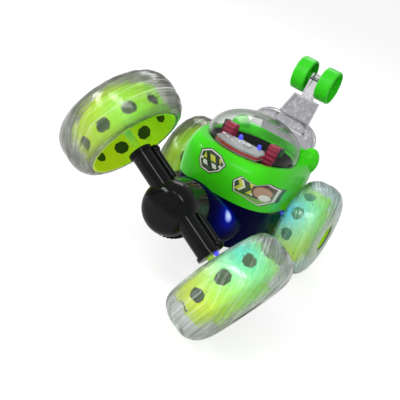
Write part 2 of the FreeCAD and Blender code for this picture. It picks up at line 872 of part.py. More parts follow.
def console_block(inset, low, high):
    """The dashboard's raised part: its front follows the tray's edge."""
    half = console_half_width - inset
    limits = block(Vector(console_rear + inset, -half, low), Vector(dome_length_radius, half, high))
    return limits.common(tray_shape(console_inset + inset, low, high))


def shelf_block(inset, low, high):
    half = shelf_half_width - inset
    return block(Vector(shelf_rear + inset, -half, low), Vector(console_rear + dashboard_thickness, half, high))


def pedestal(inset, low):
    """What carries the dashboard, rising from the tray's floor."""
    top = -dashboard_thickness - inset
    return console_block(inset, low, console_top + top).fuse(shelf_block(inset, low, shelf_top + top))


def cockpit_tray():
    top = tray_top()
    flange = tray_shape(-tray_flange, top - tray_wall, top)
    cup = tray_shape(0, top - tray_depth, top)
    cavity = tray_shape(tray_wall, tray_floor(), top)
    tray = flange.fuse(cup).cut(cavity).fuse(pedestal(contact_gap, tray_floor() - tray_wall / 2))
    return tray.cut(pedestal(tray_wall, tray_floor() - 2 * tray_wall)).removeSplitter()


def seat(side):
    """Ribbed seat back with its squab; side is +1 on the left."""
    low = tray_floor()
    y = side * seat_offset
    back = block(Vector(0, y - seat_width / 2, low), Vector(seat_depth, y + seat_width / 2,
                                                            low + seat_height))
    crown = [edge for edge in back.Edges if abs(edge.BoundBox.ZMin - low - seat_height) < 0.01]
    back = back.makeFillet(seat_edge_round, crown)
    ribs = []
    for index in range(seat_rib_count):
        height = low + seat_height * (index + 1) / (seat_rib_count + 1)
        ribs.append(rod(seat_rib_radius, Vector(seat_depth, y - seat_width / 2, height), Y, seat_width))
    back = joined([back] + ribs)
    back = turned(back, Vector(0, 0, low), Y, -seat_recline)
    squab = block(Vector(0, y - seat_width / 2, low), Vector(seat_squab_depth, y + seat_width / 2,
                                                             low + seat_squab_height))
    floor_cut = block(Vector(-seat_height, y - seat_width, low - seat_depth),
                      Vector(seat_height, y + seat_width, low))
    return moved(back.fuse(squab).cut(floor_cut).removeSplitter(), X * seat_forward)


def seat_side_panel(side):
    low = tray_floor()
    inner = side * (seat_offset + seat_width / 2)
    outer = inner + side * seat_panel_thickness
    panel = block(Vector(0, min(inner, outer), low), Vector(seat_depth, max(inner, outer),
                                                            low + seat_height))
    panel = turned(panel, Vector(0, 0, low), Y, -seat_recline)
    floor_cut = block(Vector(-seat_height, -dome_width_radius, low - seat_depth),
                      Vector(seat_height, dome_width_radius, low))
    return moved(panel.cut(floor_cut), X * seat_forward)


def console():
    """Silver dashboard: a raised plate with a dial, a riser, a low shelf, and an edge below the red band."""
    plate = console_block(0, console_top - dashboard_thickness, console_top)
    overhang = console_front_band(console_top - dashboard_thickness, console_top)
    shelf = shelf_block(0, shelf_top - dashboard_thickness, shelf_top)
    shelf = shelf.common(block(Vector(0, -dome_width_radius, -tray_depth),
                               Vector(console_rear, dome_width_radius, dome_rise)))
    riser = block(Vector(console_rear - dashboard_thickness, -shelf_half_width, shelf_top - dashboard_thickness),
                  Vector(console_rear, shelf_half_width, console_top))
    dial = rod(dial_radius, dial_place, Z, dial_height)
    dial = dial.makeFillet(dial_height / 2, [edge for edge in dial.Edges
                                             if edge.Closed and edge.BoundBox.ZMin > console_top])
    lip_top = front_band_low - contact_gap
    return group([joined([plate, overhang, shelf, riser, dial]).removeSplitter(),
                  console_front_band(lip_top - front_lip_height, lip_top)])


def console_front_band(low, high):
    """A strip round the curved front of the dashboard."""
    strip = console_block(-front_trim_thickness, low, high).cut(console_block(0, low, high))
    ahead = Vector(console_rear + console_inset, -dome_width_radius, low)
    return strip.common(block(ahead, Vector(dome_length_radius, dome_width_radius, high)))


def console_trim():
    """The red band round the dashboard's front."""
    return console_front_band(front_band_low, console_top - dashboard_thickness - contact_gap)


def cockpit_led(side):
    place = Vector(cockpit_led_place.x, side * cockpit_led_place.y, cockpit_led_place.z)
    return led(place, Z)


# ---------------------------------------------------------------- tail
def deck_height():
    return rim_height(tail_base_sections[0][0])


def tail_level(x, height, drop):
    """The foot of the tail follows the sloping deck; its other sections are level."""
    return rim_height(x) - drop if height == 0 else deck_height() + height - drop


def tail_loft(sections, inset):
    wires = []
    for x, height, half_depth, half_width in sections:
        outline = superellipse(half_depth - inset, half_depth - inset, half_width - inset,
                               tail_roundness, tail_roundness, plan_points)
        wires.append(closed_curve([Vector(x + along, across, tail_level(x + along, height, inset))
                                   for along, across in outline]))
    return Part.makeLoft(wires, True)


def tail_arm():
    """A hollow clear arm on a wide foot, with a narrow neck up to the small wheels' pin."""
    outer = tail_loft(tail_base_sections, 0).fuse(tail_loft(tail_arm_sections, 0))
    hollow = tail_loft(tail_base_sections, tail_wall).fuse(tail_loft(tail_arm_sections, tail_wall))
    top_x, top_height = tail_arm_sections[-1][:2]
    half = Vector(tail_neck_half_depth, tail_neck_half_width, 0)
    neck_foot = Vector(top_x, 0, deck_height() + top_height - tail_wall / 2)
    neck = block(neck_foot - half, Vector(top_x, 0, tail_axle.z) + half)
    boss = rod(tail_neck_half_depth, tail_axle - Y * tail_neck_half_width, Y, 2 * tail_neck_half_width)
    arm = joined([outer.cut(hollow), neck, boss])
    return arm.cut(rod(tail_pin_radius, tail_axle - Y * tail_neck_half_width, Y,
                       2 * tail_neck_half_width))


def tail_pin():
    reach = tail_wheel_offset + tail_wheel_web / 2 + tail_cap_thickness + side_gap
    pin = rod(tail_pin_radius, tail_axle - Y * reach, Y, 2 * reach)
    caps = [rod(tail_hub_radius, tail_axle + Y * side * reach, Y * -side, tail_cap_thickness)
            for side in (-1, 1)]
    return joined([pin] + caps)


def tail_wheel():
    """A shallow cup on each side of a central web."""
    half = tail_wheel_width / 2
    outer = rod(tail_wheel_radius, Y * -half, Y, tail_wheel_width)
    outer = outer.makeFillet(tail_wheel_round, [edge for edge in outer.Edges if edge.Closed])
    cavity_radius = tail_wheel_radius - tail_wheel_wall
    cups = [rod(cavity_radius, Y * side * tail_wheel_web / 2, Y * side, half) for side in (-1, 1)]
    inner_reach = tail_wheel_offset - tail_neck_half_width - side_gap
    hub_rod = rod(tail_hub_radius, Y * tail_wheel_web / 2, -Y, inner_reach + tail_wheel_web / 2)
    wheel = outer.cut(group(cups)).fuse(hub_rod)
    return wheel.cut(rod(tail_pin_radius + running_gap, Y * -tail_wheel_width, Y,
                         2 * tail_wheel_width)).removeSplitter()


# ---------------------------------------------------------------- power, sound and control
def cell_places():
    return [Vector(battery_centre + (index - (cell_count - 1) / 2) * cell_pitch, 0, cell_height())
            for index in range(cell_count)]


def battery_cells():
    cells = []
    for index, place in enumerate(cell_places()):
        way = Y if index % 2 else -Y
        can = rod(cell_radius, place - way * (cell_length / 2), way, cell_length)
        nub = rod(cell_nub_radius, place + way * (cell_length / 2), way, cell_nub_length)
        cells.append(can.fuse(nub).removeSplitter())
    return group(cells)


def battery_box():
    top = cell_height() + cell_radius + battery_gap + battery_box_wall
    low = tub_bottom + wall
    outer = block(Vector(battery_centre - box_half_length(), -box_half_width(), low),
                  Vector(battery_centre + box_half_length(), box_half_width(), top))
    inner_length = box_half_length() - battery_box_wall
    inner_width = box_half_width() - battery_box_wall
    inner = block(Vector(battery_centre - inner_length, -inner_width, low),
                  Vector(battery_centre + inner_length, inner_width, top - battery_box_wall))
    return joined([outer.cut(inner)] + board_posts())


def battery_contacts():
    inner_width = box_half_width() - battery_box_wall
    return group([rod(contact_radius, place + Y * side * inner_width, Y * -side, contact_thickness)
                  for place in cell_places() for side in (-1, 1)])


def door_screw_places():
    return [Vector(battery_centre, side * door_screw_offset, 0) for side in (-1, 1)]


def battery_door_piece():
    door = battery_door(0)
    for place in door_screw_places():
        door = door.cut(rod(screw_head_radius + access_gap, place + Z * tub_bottom, Z, door_thickness / 2))
        door = door.cut(rod(screw_shank_radius, place + Z * tub_bottom, Z, door_thickness))
    return door


def screw(head_place, direction, length):
    head = rod(screw_head_radius, head_place, direction, screw_head_height)
    shank = rod(screw_shank_radius, head_place + direction * screw_head_height, direction, length)
    cross = [block(Vector(-screw_head_radius / 2, -slot_width / 2, 0),
                   Vector(screw_head_radius / 2, slot_width / 2, screw_head_height / 2)),
             block(Vector(-slot_width / 2, -screw_head_radius / 2, 0),
                   Vector(slot_width / 2, screw_head_radius / 2, screw_head_height / 2))]
    recess = group(cross)
    recess.Placement = Placement(head_place, Rotation(Z, direction))
    return head.fuse(shank).removeSplitter().cut(recess)


def body_screws():
    head_low = screw_seat_height - wall - screw_head_height
    return group([screw(place + Z * head_low, Z, screw_shank_length) for place in post_places()])


def door_screws():
    head_low = tub_bottom + door_thickness / 2 - screw_head_height
    return group([screw(place + Z * head_low, Z, door_screw_length) for place in door_screw_places()])


def board_bottom():
    return cell_height() + cell_radius + battery_gap + battery_box_wall + board_standoff


def board_posts():
    """Four pillars between the battery box and the circuit board."""
    along = box_half_length() - board_post_inset
    across = board_width / 2 - board_post_inset
    top = board_bottom()
    return [rod(board_post_radius, Vector(battery_centre + x, side * across, top - board_standoff), Z,
                board_standoff)
            for x in (-along, along) for side in (-1, 1)]


def circuit_board():
    low = Vector(board_centre - board_length / 2, -board_width / 2, board_bottom())
    board = block(low, low + Vector(board_length, board_width, board_thickness))
    chips = []
    for size, spot in zip(chip_sizes, chip_places):
        corner = Vector(board_centre + spot[0], spot[1], low.z + board_thickness)
        chips.append(block(corner, corner + size))
    return joined([board] + chips)


def speaker():
    base = Vector(speaker_centre, 0, tub_bottom + wall)
    magnet = rod(speaker_radius / 2, base + Z * speaker_height, Z, speaker_height / 2)
    return joined([rod(speaker_radius, base, Z, speaker_height), magnet])


def speaker_grille():
    base = Vector(speaker_centre, 0, tub_bottom)
    holes = [rod(speaker_hole_radius, base, Z, wall)]
    for index in range(speaker_holes):
        angle = 2 * math.pi * index / speaker_holes
        spot = base + Vector(math.cos(angle), math.sin(angle), 0) * speaker_hole_ring
        holes.append(rod(speaker_hole_radius, spot, Z, wall))
    return holes


def switch_slot():
    half = Vector(switch_knob.x / 2 + switch_slot_gap, switch_knob.y / 2 + switch_slot_gap, 0)
    return block(switch_centre - half + Z * tub_bottom,
                 switch_centre + half + Y * switch_travel + Z * (tub_bottom + wall))


def switch_parts():
    """The knob with its foot, and the housing that it slides in."""
    floor = tub_bottom + wall
    half = Vector(switch_knob.x / 2, switch_knob.y / 2, 0)
    stem = block(switch_centre - half + Z * (tub_bottom - switch_knob.z / 2),
                 switch_centre + half + Z * (floor + switch_knob.z / 4))
    foot_half = half + Vector(switch_lip, switch_lip, 0)
    foot = block(switch_centre - foot_half + Z * (floor + contact_gap),
                 switch_centre + foot_half + Z * (floor + switch_knob.z / 2))
    knob = joined([stem, foot])
    middle = switch_centre + Y * switch_travel / 2
    case_half = Vector(switch_housing.x / 2, switch_housing.y / 2, 0)
    case = block(middle - case_half + Z * floor, middle + case_half + Z * (floor + switch_housing.z))
    gap = switch_slot_gap
    room = block(switch_centre - foot_half - Vector(gap, gap, 0) + Z * floor,
                 switch_centre + foot_half + Vector(gap, gap + switch_travel, 0)
                 + Z * (floor + switch_knob.z / 2 + contact_gap))
    return knob, case.cut(room)


def socket_place():
    """Outer end of the charging socket, flush with the tub's rear wall."""
    share = (socket_height - tub_bottom) / (parting_height - tub_bottom)
    low, high = tub_sections[-2], tub_sections[-1]
    part_way = (share - low[0]) / (high[0] - low[0])
    reach = low[2] + (high[2] - low[2]) * part_way
    return Vector(shell_centre - reach, 0, socket_height)


def charging_socket():
    body = rod(socket_radius - contact_gap, socket_place(), X, socket_length)
    return body.cut(rod(socket_bore, socket_place(), X, socket_depth))


def headlight(side):
    place = Vector(headlight_place.x, side * headlight_place.y, headlight_place.z)
    return led(place - X * led_length, X)


def gearbox():
    """Closed case round the left rear gear and pinion."""
    axle = rear_axle_place()
    pinion_place = motor_place(axle, motor_angle_rear)
    gear_reach = gear_module * (gear_teeth / 2 + 1) + gearbox_gap
    pinion_reach = gear_module * (pinion_teeth / 2 + 1) + gearbox_gap
    start = gearbox_start()
    width = gearbox_outer_face - start
    case = rod(gear_reach + gearbox_wall, axle + Y * start, Y, width)
    case = case.fuse(rod(pinion_reach + gearbox_wall, pinion_place + Y * start, Y, width))
    room_start = start + gearbox_wall
    room_width = width - 2 * gearbox_wall
    room = rod(gear_reach, axle + Y * room_start, Y, room_width)
    room = room.fuse(rod(pinion_reach, pinion_place + Y * room_start, Y, room_width))
    axle_hole = rod(shaft_radius + running_gap, axle + Y * room_start, Y, width)
    pinion_hole = rod(motor_shaft_radius + running_gap, pinion_place, Y, room_start)
    return case.cut(room).cut(group([axle_hole, pinion_hole])).removeSplitter()


def gearbox_start():
    return rear_gear_start - gearbox_wall - side_gap - contact_gap


def rear_shaft():
    axle = rear_axle_place()
    start = rear_gear_start - side_gap / 2
    end = rear_track / 2 + hub_disc_face(rear_wheel) + shaft_stub
    return rod(shaft_radius, axle + Y * start, Y, end - start)


# ---------------------------------------------------------------- assembly
def pair(left_shape):
    return group([left_shape, mirrored(left_shape)])


def at_front_wheel(shape):
    return moved(shape, front_axle + Y * (front_track / 2))


def at_rear_wheel(shape):
    return moved(shape, rear_axle_place() + Y * (rear_track / 2))


def chassis_pieces():
    knob, switch_case = switch_parts()
    pieces = {
        "chassis_tub": chassis_tub(),
        "body_shell": body_shell(),
        "badges": group([badge(badge_places["left"], left_badge_outline),
                         badge(badge_places["right"], right_badge_outline)]),
        "cockpit_dome": in_dome_frame(dome()),
        "cockpit_tray": in_dome_frame(cockpit_tray()),
        "seats": in_dome_frame(group([seat(1), seat(-1)])),
        "seat_panels": in_dome_frame(group([seat_side_panel(1), seat_side_panel(-1)])),
        "dashboard": in_dome_frame(console()),
        "dashboard_trim": in_dome_frame(console_trim()),
        "cockpit_leds": in_dome_frame(group([cockpit_led(1), cockpit_led(-1)])),
        "twist_bush": pipe(bush_radius, spigot_radius + running_gap, X * (neck_face - bush_length), X,
                           bush_length),
        "battery_box": battery_box(),
        "battery_cells": battery_cells(),
        "battery_contacts": battery_contacts(),
        "battery_door": battery_door_piece(),
        "door_screws": door_screws(),
        "body_screws": body_screws(),
        "circuit_board": circuit_board(),
        "speaker": speaker(),
        "charging_socket": charging_socket(),
        "switch_housing": switch_case,
        "headlights": group([headlight(1), headlight(-1)]),
        "rear_wheel_leds": pair(rear_wheel_led()),
        "rear_gearboxes": pair(gearbox()),
        "rear_motors": pair(motor(rear_axle_place(), motor_angle_rear, gearbox_start())),
        "tail_arm": tail_arm(),
        "tail_pin": tail_pin(),
    }
    return pieces


def front_unit_pieces():
    arm = front_arm()
    return {
        "drum_housing": drum_housing(),
        "drum_cap": drum_cap(),
        "drum_band": drum_band(),
        "front_arm_left": arm,
        "front_arm_right": mirrored(arm),
        "front_plate": front_plate(),
        "front_motor": motor(front_axle, motor_angle_front, front_plate_start()),
        "front_wheel_leds": pair(front_wheel_led()),
        "twist_clip": twist_clip(),
    }


def front_wheel_pieces():
    left_tyre = at_front_wheel(tyre(front_wheel))
    return {
        "front_tyre_left": left_tyre,
        "front_tyre_right": mirrored(left_tyre),
        "front_hub_left": at_front_wheel(hub(front_wheel, front_window_phase["left"])),
        "front_hub_right": mirrored(at_front_wheel(hub(front_wheel, front_window_phase["right"]))),
        "front_hub_caps": pair(at_front_wheel(hub_cap(front_wheel))),
        "front_axle": front_axle_shaft(),
        "front_gear": bored(axle_gear(front_axle, motor_angle_front, front_gear_start), front_axle),
    }


def rear_wheel_pieces(phase):
    """The left rear wheel with everything that turns with it."""
    return {
        "rear_tyre": at_rear_wheel(tyre(rear_wheel)),
        "rear_hub": at_rear_wheel(hub(rear_wheel, phase)),
        "rear_hub_cap": at_rear_wheel(hub_cap(rear_wheel)),
        "rear_axle": rear_shaft(),
        "rear_gear": bored(axle_gear(rear_axle_place(), motor_angle_rear, rear_gear_start),
                           rear_axle_place()),
    }


def rear_wheel_led():
    inner = rear_axle_place() + rear_led_offset
    tip = rear_track / 2 - rear_wheel["width"] / 2 - side_gap
    return led(Vector(inner.x, tip - led_length, inner.z), Y)


def front_wheel_led():
    return led(front_axle + front_led_offset + Y * (arm_end - arm_end_wall), Y)


def motor_shaft_start(motor_end):
    return motor_end - motor_length / 2 + side_gap


def bodies():
    """Every moving body's pieces in the modelling frame, by body name."""
    groups = {
        "chassis": chassis_pieces(),
        "front_unit": front_unit_pieces(),
        "front_wheels": front_wheel_pieces(),
        "front_rotor": {"front_pinion": rotor(front_axle, motor_angle_front, front_gear_start,
                                              motor_shaft_start(front_plate_start()))},
        "power_switch": {"switch_knob": switch_parts()[0]},
    }
    pinion = rotor(rear_axle_place(), motor_angle_rear, rear_gear_start,
                   motor_shaft_start(gearbox_start()))
    small_wheel = moved(tail_wheel(), tail_axle + Y * tail_wheel_offset)
    for side in ("left", "right"):
        turn = mirrored if side == "right" else lambda shape: shape
        wheel = rear_wheel_pieces(rear_window_phase[side])
        groups["rear_wheel_" + side] = {name + "_" + side: turn(shape) for name, shape in wheel.items()}
        groups["rear_rotor_" + side] = {"rear_pinion_" + side: turn(pinion)}
        groups["tail_wheel_" + side] = {"tail_wheel_" + side: turn(small_wheel)}
    for body in ("front_unit", "front_wheels", "front_rotor"):
        for name, shape in groups[body].items():
            groups[body][name] = turned(shape, ORIGIN, X, front_twist)
    return groups


# ---------------------------------------------------------------- standing pose
def tyre_reach(wheel, direction):
    """Farthest reach of a tyre along a direction given in the wheel's own frame."""
    radial = math.hypot(direction.x, direction.z)
    return max(point.x * radial + point.y * direction.y for point in tyre_curve(wheel, 0, tyre_samples))


def lowest_points(pitch):
    """Heights of the left front tyre's and the rear tyres' lowest points at a nose-up pitch."""
    up = Vector(math.sin(math.radians(pitch)), 0, math.cos(math.radians(pitch)))
    twist = Rotation(X, front_twist)
    centre = twist.multVec(front_axle + Y * (front_track / 2))
    front = centre.dot(up) - tyre_reach(front_wheel, twist.inverted().multVec(-up))
    rear = rear_axle_place().dot(up) - tyre_reach(rear_wheel, -up)
    return front, rear


def standing_pitch():
    low, high = 0.0, 45.0
    while high - low > pitch_tolerance:
        middle = (low + high) / 2
        front, rear = lowest_points(middle)
        if front < rear:
            low = middle
        else:
            high = middle
    return (low + high) / 2


def standing_placement(shapes):
    """Pitches the car on to its three wheels and centres it over the origin."""
    pitch = standing_pitch()
    tilt = Placement(ORIGIN, Rotation(Y, -pitch))
    box = None
    for shape in shapes:
        copy = shape.copy()
        copy.Placement = tilt.multiply(copy.Placement)
        extent = copy.optimalBoundingBox(False)
        if box is None:
            box = extent
        box.add(extent)
    floor = min(lowest_points(pitch))
    return Placement(Vector(-box.Center.x, -box.Center.y, -floor), Rotation(Y, -pitch))


def set_down(shape, standing):
    copy = shape.copy()
    copy.Placement = standing.multiply(copy.Placement)
    return copy


car = bodies()
outer_names = ["front_tyre_left", "front_tyre_right", "rear_tyre_left", "rear_tyre_right",
               "tail_wheel_left", "tail_wheel_right", "front_hub_caps", "drum_cap"]
everything = {name: shape for pieces in car.values() for name, shape in pieces.items()}
standing = standing_placement([everything[name] for name in outer_names])

os.makedirs("parts", exist_ok=True)
for name, shape in everything.items():
    set_down(shape, standing).exportStep("parts/" + name + ".step")
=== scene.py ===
import json
import math

import bmesh
import bpy
from mathutils import Matrix, Vector, noise
from mathutils.bvhtree import BVHTree


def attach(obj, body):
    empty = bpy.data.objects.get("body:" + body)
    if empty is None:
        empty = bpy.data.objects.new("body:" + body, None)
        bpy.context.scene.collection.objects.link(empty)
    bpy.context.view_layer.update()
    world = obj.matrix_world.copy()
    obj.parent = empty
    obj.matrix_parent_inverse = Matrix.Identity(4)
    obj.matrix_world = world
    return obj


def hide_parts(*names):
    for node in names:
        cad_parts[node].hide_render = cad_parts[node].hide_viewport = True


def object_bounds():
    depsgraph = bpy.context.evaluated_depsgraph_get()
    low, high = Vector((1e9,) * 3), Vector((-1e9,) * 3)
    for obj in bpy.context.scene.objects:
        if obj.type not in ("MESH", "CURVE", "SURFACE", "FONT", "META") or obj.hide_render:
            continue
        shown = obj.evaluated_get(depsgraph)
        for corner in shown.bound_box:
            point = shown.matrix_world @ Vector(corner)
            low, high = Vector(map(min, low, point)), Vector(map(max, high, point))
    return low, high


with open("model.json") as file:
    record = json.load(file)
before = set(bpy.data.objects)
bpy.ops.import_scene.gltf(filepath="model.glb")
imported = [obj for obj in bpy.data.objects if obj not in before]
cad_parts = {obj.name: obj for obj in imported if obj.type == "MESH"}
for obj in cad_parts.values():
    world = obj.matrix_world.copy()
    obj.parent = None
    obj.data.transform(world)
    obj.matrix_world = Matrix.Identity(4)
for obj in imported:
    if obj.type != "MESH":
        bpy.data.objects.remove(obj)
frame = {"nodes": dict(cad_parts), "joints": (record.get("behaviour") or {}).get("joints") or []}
cad_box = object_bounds()

MM = 0.001
JOINTS = {joint["name"]: joint for joint in frame["joints"]}
X, Y, Z = Vector((1, 0, 0)), Vector((0, 1, 0)), Vector((0, 0, 1))


# ---------------------------------------------------------------- frames

def basis(x, y, z, origin):
    return Matrix.Translation(origin) @ Matrix((x, y, z)).transposed().to_4x4()


def joint_axis(name):
    return Vector(JOINTS[name]["axis"]).normalized()


def joint_place(name):
    return Vector(JOINTS[name]["pos_m"])


def car_frame():
    """The car's own axes: X along the twist axis, Y to the left, from the twist joint's point."""
    forward = joint_axis("front_twist")
    return basis(forward, Y, forward.cross(Y), joint_place("front_twist"))


CAR = car_frame()
FORWARD, UPWARD = CAR.to_3x3() @ X, CAR.to_3x3() @ Z
FRONT_HALF_TRACK = 85.5 * MM
# The side from which the hubs' lime is painted lighter and yellower: painted light.
SUNNY_SIDE = Vector((-0.3, 0.7, 0.6)).normalized()


def wheel_frame(end, side):
    """A wheel's frame: the origin at its centre and Y pointing out of the car."""
    sign = 1 if side == "left" else -1
    if end == "front":
        forward, out = joint_axis("front_twist"), joint_axis("front_wheel_spin") * sign
        centre = joint_place("front_wheel_spin") + out * FRONT_HALF_TRACK
    else:
        spin = f"rear_wheel_{side}_spin"
        forward, out = joint_axis("front_twist"), joint_axis(spin) * sign
        centre = joint_place(spin)
    return basis(forward, out, forward.cross(out), centre)


def on_car(x, y, z):
    """A point in the car's frame, given in millimetres, in the row frame."""
    return CAR @ (Vector((x, y, z)) * MM)


# ---------------------------------------------------------------- material nodes

class Shader:
    """A material with one Principled node, and short names for the nodes that feed it."""

    def __init__(self, name, **sockets):
        self.material = bpy.data.materials.new(name)
        self.material.use_nodes = True
        self.tree = self.material.node_tree
        self.principled = self.tree.nodes["Principled BSDF"]
        self.output = self.tree.nodes["Material Output"]
        for socket, value in sockets.items():
            self.set(socket.replace("_", " "), value)

    def set(self, socket, value):
        target = self.principled.inputs[socket]
        if hasattr(value, "links"):
            self.tree.links.new(value, target)
        elif isinstance(value, tuple) and len(value) == 3 and target.type == "RGBA":
            target.default_value = (*value, 1)
        else:
            target.default_value = value

    def node(self, kind, inputs=None, **settings):
        node = self.tree.nodes.new(kind)
        for key, value in settings.items():
            setattr(node, key, value)
        for key, value in (inputs or {}).items():
            if hasattr(value, "links"):
                self.tree.links.new(value, node.inputs[key])
            else:
                node.inputs[key].default_value = value
        return node

    def place(self):
        return self.node("ShaderNodeTexCoord").outputs["Object"]

    def noise(self, scale, detail=4, roughness=0.5, at=None, stretch=(1, 1, 1)):
        vector = at or self.place()
        if stretch != (1, 1, 1):
            vector = self.node("ShaderNodeMapping", {"Vector": vector, "Scale": stretch}).outputs[0]
        return self.node("ShaderNodeTexNoise", {"Vector": vector, "Scale": scale, "Detail": detail,
                                                "Roughness": roughness}).outputs["Fac"]

    def spread(self, value, low, high, start=0.0, end=1.0):
        """value from low..high carried over to start..end."""
        return self.node("ShaderNodeMapRange", {"Value": value, "From Min": low, "From Max": high,
                                                "To Min": start, "To Max": end}).outputs[0]

    def math(self, operation, a, b=0.0):
        return self.node("ShaderNodeMath", {0: a, 1: b}, operation=operation).outputs[0]

    def mix(self, factor, a, b):
        node = self.node("ShaderNodeMix", {0: factor}, data_type="RGBA")
        for index, value in ((6, a), (7, b)):
            if hasattr(value, "links"):
                self.tree.links.new(value, node.inputs[index])
            else:
                node.inputs[index].default_value = (*value, 1)
        return node.outputs[2]

    def near(self, point, radius, softness=1.0):
        """1 at a point of the row frame and 0 beyond radius metres from it."""
        away = self.node("ShaderNodeVectorMath", {0: self.place(), 1: tuple(point)}, operation="DISTANCE")
        fall = self.spread(away.outputs["Value"], 0.0, radius, 1.0, 0.0)
        return self.math("POWER", fall, softness)

    def along(self, point, direction, start, end):
        """0 to 1 from start to end, in metres, along a direction from a point of the row frame."""
        offset = self.node("ShaderNodeVectorMath", {0: self.place(), 1: tuple(point)}, operation="SUBTRACT")
        part = self.node("ShaderNodeVectorMath", {0: offset.outputs[0], 1: tuple(direction)},
                         operation="DOT_PRODUCT")
        return self.spread(part.outputs["Value"], start, end)

    def facing(self, blend=0.5):
        return self.node("ShaderNodeLayerWeight", {"Blend": blend}).outputs["Facing"]

    def bump(self, height, strength, distance):
        self.set("Normal", self.node("ShaderNodeBump", {"Height": height, "Strength": strength,
                                                        "Distance": distance}).outputs[0])

    def let_lamps_through(self, tint):
        """Rays from lamps pass, so that they light what is behind the clear wall."""
        clear = self.node("ShaderNodeBsdfTransparent", {"Color": (*tint, 1)})
        path = self.node("ShaderNodeLightPath")
        both = self.node("ShaderNodeMixShader", {0: path.outputs["Is Shadow Ray"]})
        self.tree.links.new(self.principled.outputs[0], both.inputs[1])
        self.tree.links.new(clear.outputs[0], both.inputs[2])
        self.tree.links.new(both.outputs[0], self.output.inputs["Surface"])


# ---------------------------------------------------------------- materials

def moulded_gloss(name, colour, roughness=0.25, variation=0.12, specular=0.5, coat=0.0):
    """Glossy moulded plastic with faint flow marks and a hardly visible orange peel."""
    s = Shader(name, Roughness=roughness)
    s.set("Specular IOR Level", specular)
    s.set("Coat Weight", coat)
    dark = tuple(channel * (1 - variation) for channel in colour)
    light = tuple(min(1.0, channel * (1 + variation)) for channel in colour)
    s.set("Base Color", s.mix(s.spread(s.noise(28, 3), 0.3, 0.7), dark, light))
    s.set("Roughness", s.spread(s.noise(60, 4), 0.3, 0.7, roughness * 0.8, roughness * 1.25))
    s.bump(s.noise(900, 2), 0.08, 0.0001)
    return s.material


def clear_wall(name, centre, edge, roughness, ior, speckle=0.0, painted_streaks=False, rim_power=1.0):
    """Clear plastic that darkens where the eye looks along the wall."""
    s = Shader(name, Roughness=roughness, IOR=ior)
    rim = s.math("POWER", s.facing(0.5), rim_power)
    cloud = s.spread(s.noise(60, 5), 0.4, 0.62, 0.0, 0.45)
    tint = s.mix(s.math("ADD", rim, s.math("MULTIPLY", cloud, rim)), centre, edge)
    body = 1.0
    # Painted shade and painted highlights in streaks and creases wound round the tyre, which also make the
    # wall less clear there.
    if painted_streaks:
        dark, pale, streak = tread_shade_and_highlights(s, rim)
        tint = s.mix(pale, s.mix(dark, tint, STREAK_SHADE), STREAK_HIGHLIGHT)
        body = s.math("SUBTRACT", 1.0, s.math("MULTIPLY", s.math("MAXIMUM", dark, pale), 0.4))
        s.bump(streak, 0.6, 0.0006)
    s.set("Base Color", tint)
    s.set("Transmission Weight", body)
    # White flecks painted into the colour as sparkle highlights, over a matching fleck relief.
    if speckle:
        fleck = s.noise(320, 3, 0.6, stretch=(1, 1, 0.4))
        s.set("Base Color", s.mix(s.spread(fleck, 0.54, 0.66), tint, FLECK))
        s.bump(fleck, speckle, 0.0004)
    s.let_lamps_through(tuple(0.5 * (a + b) for a, b in zip(centre, edge)))
    return s.material


def tread_shade_and_highlights(s, rim):
    """Painted shade and painted highlights in long streaks and fine creases that wind round the tyre: a
    dark part of painted shade, a pale part of painted highlight, and the relief.
    """
    tread = s.node("ShaderNodeSeparateColor", {0: s.node("ShaderNodeAttribute",
                                                        attribute_name="tread").outputs["Color"]})
    turn = s.math("ARCTAN2", tread.outputs[1], tread.outputs[0])
    wound = s.math("SUBTRACT", turn, s.math("MULTIPLY", tread.outputs[2], SWIRL * math.tau))

    def along_swirl(fineness, length):
        place = s.node("ShaderNodeCombineXYZ", {
            0: s.math("MULTIPLY", s.math("COSINE", wound), fineness),
            1: s.math("MULTIPLY", s.math("SINE", wound), fineness),
            2: s.math("MULTIPLY", tread.outputs[2], length)})
        return s.noise(1.0, 4, 0.6, at=place.outputs[0])

    broad, fine = along_swirl(9.0, 4.0), along_swirl(19.0, 7.0)
    # Broad streaks: painted shade and painted highlight, both stronger where the eye looks along the wall.
    shade = s.math("MULTIPLY", s.spread(broad, 0.48, 0.36), s.spread(rim, 0.1, 0.75, 0.04, 1.0))
    gleam = s.math("MULTIPLY", s.spread(broad, 0.55, 0.68), s.spread(rim, 0.0, 0.7, 0.3, 1.0))
    # Fine creases: painted shade on one side of the broad streaks and painted highlight on the other.
    ridge = s.math("ABSOLUTE", s.math("SUBTRACT", fine, 0.5))
    crease_light_and_shade = s.math("MULTIPLY", s.spread(ridge, 0.010, 0.0), 0.8)
    side = s.spread(broad, 0.49, 0.51)
    dark = s.math("MAXIMUM", shade, s.math("MULTIPLY", crease_light_and_shade, s.math("SUBTRACT", 1.0, side)))
    pale = s.math("MAXIMUM", gleam, s.math("MULTIPLY", crease_light_and_shade, side))
    return dark, pale, broad


